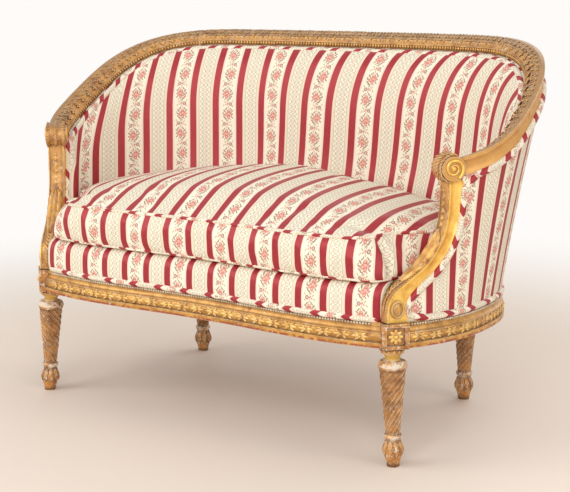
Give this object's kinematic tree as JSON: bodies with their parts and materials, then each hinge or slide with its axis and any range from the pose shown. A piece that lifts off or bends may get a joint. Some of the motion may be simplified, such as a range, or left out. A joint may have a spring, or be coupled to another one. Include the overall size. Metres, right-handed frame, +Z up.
{
  "type": "settee",
  "caption": "Giltwood settee with an oval wrap-round back, sweeping scrolled arms, spiral fluted tapered legs, striped upholstery and a loose crowned seat cushion.",
  "frame": {"origin": "on the floor, midway across the width and the depth", "axes": "+X to the sitter's left seen from the front as right, front faces -Y, +Z up"},
  "size_m": [1.3758, 0.768, 0.94],
  "materials": {
    "giltwood": "worn gilding over carved beech",
    "frame_wood": "bare sawn beech",
    "dowel_wood": "bare turned beech",
    "screw_steel": "plain steel",
    "webbing": "woven jute",
    "hessian": "open jute weave",
    "striped_fabric": "striped woven cloth with small flower sprigs"
  },
  "bodies": {
    "frame": {"back_seat_rail": "giltwood", "back_tacking_rail": "frame_wood", "back_webbing": "webbing", "corner_block_screws": "screw_steel", "crest_rail": "giltwood", "crosswise_webbing": "webbing", "front_seat_rail": "giltwood", "inside_back_pad": "striped_fabric", "left_arm_rail": "giltwood", "left_arm_support": "giltwood", "left_arm_tacking_rail": "frame_wood", "left_back_corner_block": "frame_wood", "left_back_leg": "giltwood", "left_back_stile": "frame_wood", "left_front_corner_block": "frame_wood", "left_front_leg": "giltwood", "left_front_rosette": "giltwood", "left_inside_arm_pad": "striped_fabric", "left_outside_cover": "striped_fabric", "left_side_seat_rail": "giltwood", "lengthwise_webbing": "webbing", "outside_back_cover": "striped_fabric", "right_arm_rail": "giltwood", "right_arm_support": "giltwood", "right_arm_tacking_rail": "frame_wood", "right_back_corner_block": "frame_wood", "right_back_leg": "giltwood", "right_back_stile": "frame_wood", "right_front_corner_block": "frame_wood", "right_front_leg": "giltwood", "right_front_rosette": "giltwood", "right_inside_arm_pad": "striped_fabric", "right_outside_cover": "striped_fabric", "right_side_seat_rail": "giltwood", "seat_cross_brace": "frame_wood", "seat_deck": "striped_fabric", "seat_frame_dowels": "dowel_wood", "seat_hessian": "hessian", "upper_frame_dowels": "dowel_wood"},
    "loose_cushion": {"seat_cushion": "striped_fabric"}
  },
  "joints": [
    {"name": "cushion_lift", "type": "slide", "parent": "frame", "child": "loose_cushion", "axis": [0, 0, 1], "range_m": [0, 0.55]}
  ]
}
